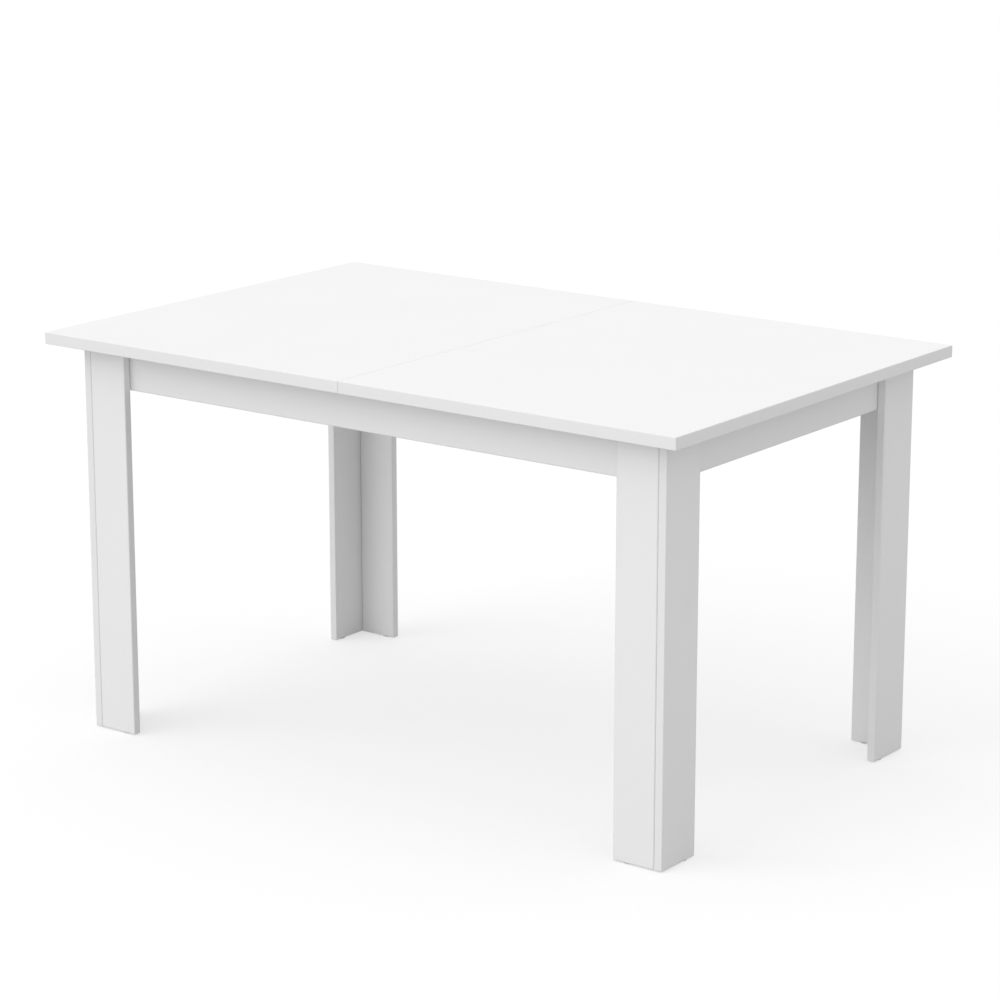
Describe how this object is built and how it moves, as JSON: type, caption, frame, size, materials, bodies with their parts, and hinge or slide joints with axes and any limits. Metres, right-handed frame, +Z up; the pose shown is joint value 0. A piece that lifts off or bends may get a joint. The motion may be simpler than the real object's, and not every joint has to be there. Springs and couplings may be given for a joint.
{
  "type": "extendable dining table",
  "caption": "White board dining table with L-shaped legs; the top parts at the middle and its halves slide out over a fixed frame that stores an insert leaf.",
  "frame": {"origin": "on the floor, under the centre of the closed table", "axes": "+X along the table's length to the right-hand half, +Y from the front long side to the rear, +Z up"},
  "size_m": [1.4, 0.9, 0.768],
  "materials": {
    "white_melamine": "satin white melamine facing on particle board, with matching edge banding",
    "zinc_steel": "cold-rolled steel, bright zinc plated",
    "cage_steel": "pressed steel strip with polished bearing balls, lightly greased",
    "white_plastic": "moulded white polyethylene",
    "felt": "pressed grey felt strip",
    "beech": "bare fluted beech"
  },
  "bodies": {
    "frame": {"front_apron": "white_melamine", "rear_apron": "white_melamine", "left_apron": "white_melamine", "right_apron": "white_melamine", "front_left_leg_side_board": "white_melamine", "front_left_leg_face_board": "white_melamine", "front_left_leg_side_glide": "white_plastic", "front_left_leg_face_glide": "white_plastic", "front_left_corner_bracket": "zinc_steel", "front_right_leg_side_board": "white_melamine", "front_right_leg_face_board": "white_melamine", "front_right_leg_side_glide": "white_plastic", "front_right_leg_face_glide": "white_plastic", "front_right_corner_bracket": "zinc_steel", "rear_left_leg_side_board": "white_melamine", "rear_left_leg_face_board": "white_melamine", "rear_left_leg_side_glide": "white_plastic", "rear_left_leg_face_glide": "white_plastic", "rear_left_corner_bracket": "zinc_steel", "rear_right_leg_side_board": "white_melamine", "rear_right_leg_face_board": "white_melamine", "rear_right_leg_side_glide": "white_plastic", "rear_right_leg_face_glide": "white_plastic", "rear_right_corner_bracket": "zinc_steel", "left_leaf_rail": "white_melamine", "left_leaf_pad": "felt", "right_leaf_rail": "white_melamine", "right_leaf_pad": "felt", "front_slide_channel": "zinc_steel", "rear_slide_channel": "zinc_steel"},
    "left_half": {"left_top": "white_melamine", "front_left_batten": "white_melamine", "front_left_slide_runner": "zinc_steel", "front_latch_plate": "zinc_steel", "front_latch_pivot": "zinc_steel", "rear_left_batten": "white_melamine", "rear_left_slide_runner": "zinc_steel", "rear_latch_plate": "zinc_steel", "rear_latch_pivot": "zinc_steel"},
    "right_half": {"right_top": "white_melamine", "front_right_batten": "white_melamine", "front_right_slide_runner": "zinc_steel", "front_latch_keeper": "zinc_steel", "rear_right_batten": "white_melamine", "rear_right_slide_runner": "zinc_steel", "rear_latch_keeper": "zinc_steel", "seam_dowel_1": "beech", "seam_dowel_2": "beech", "seam_dowel_3": "beech"},
    "front_left_cage": {"front_left_ball_cage": "cage_steel"},
    "front_right_cage": {"front_right_ball_cage": "cage_steel"},
    "rear_left_cage": {"rear_left_ball_cage": "cage_steel"},
    "rear_right_cage": {"rear_right_ball_cage": "cage_steel"},
    "front_lever": {"front_latch_lever": "zinc_steel"},
    "rear_lever": {"rear_latch_lever": "zinc_steel"},
    "leaf": {"insert_leaf": "white_melamine", "leaf_dowel_1": "beech", "leaf_dowel_2": "beech", "leaf_dowel_3": "beech"}
  },
  "joints": [
    {"name": "left_half_slide", "type": "slide", "parent": "frame", "child": "left_half", "axis": [-1, 0, 0], "range_m": [0, 0.2]},
    {"name": "right_half_slide", "type": "slide", "parent": "frame", "child": "right_half", "axis": [1, 0, 0], "range_m": [0, 0.2]},
    {"name": "front_left_cage_slide", "type": "slide", "parent": "frame", "child": "front_left_cage", "axis": [-1, 0, 0], "range_m": [0, 0.1]},
    {"name": "front_right_cage_slide", "type": "slide", "parent": "frame", "child": "front_right_cage", "axis": [1, 0, 0], "range_m": [0, 0.1]},
    {"name": "rear_left_cage_slide", "type": "slide", "parent": "frame", "child": "rear_left_cage", "axis": [-1, 0, 0], "range_m": [0, 0.1]},
    {"name": "rear_right_cage_slide", "type": "slide", "parent": "frame", "child": "rear_right_cage", "axis": [1, 0, 0], "range_m": [0, 0.1]},
    {"name": "front_latch_turn", "type": "hinge", "parent": "left_half", "child": "front_lever", "pos_m": [-0.045, -0.2706, 0.74215], "axis": [0, 0, -1], "range_deg": [0, 75]},
    {"name": "rear_latch_turn", "type": "hinge", "parent": "left_half", "child": "rear_lever", "pos_m": [-0.045, 0.2706, 0.74215], "axis": [0, 0, 1], "range_deg": [0, 75]},
    {"name": "leaf_lift", "type": "slide", "parent": "frame", "child": "leaf", "axis": [0, 0, 1], "range_m": [0, 0.025]}
  ],
  "couplings": [
    {"joint": "front_left_cage_slide", "follows": "left_half_slide", "ratio": 0.5},
    {"joint": "front_right_cage_slide", "follows": "right_half_slide", "ratio": 0.5},
    {"joint": "rear_left_cage_slide", "follows": "left_half_slide", "ratio": 0.5},
    {"joint": "rear_right_cage_slide", "follows": "right_half_slide", "ratio": 0.5}
  ]
}
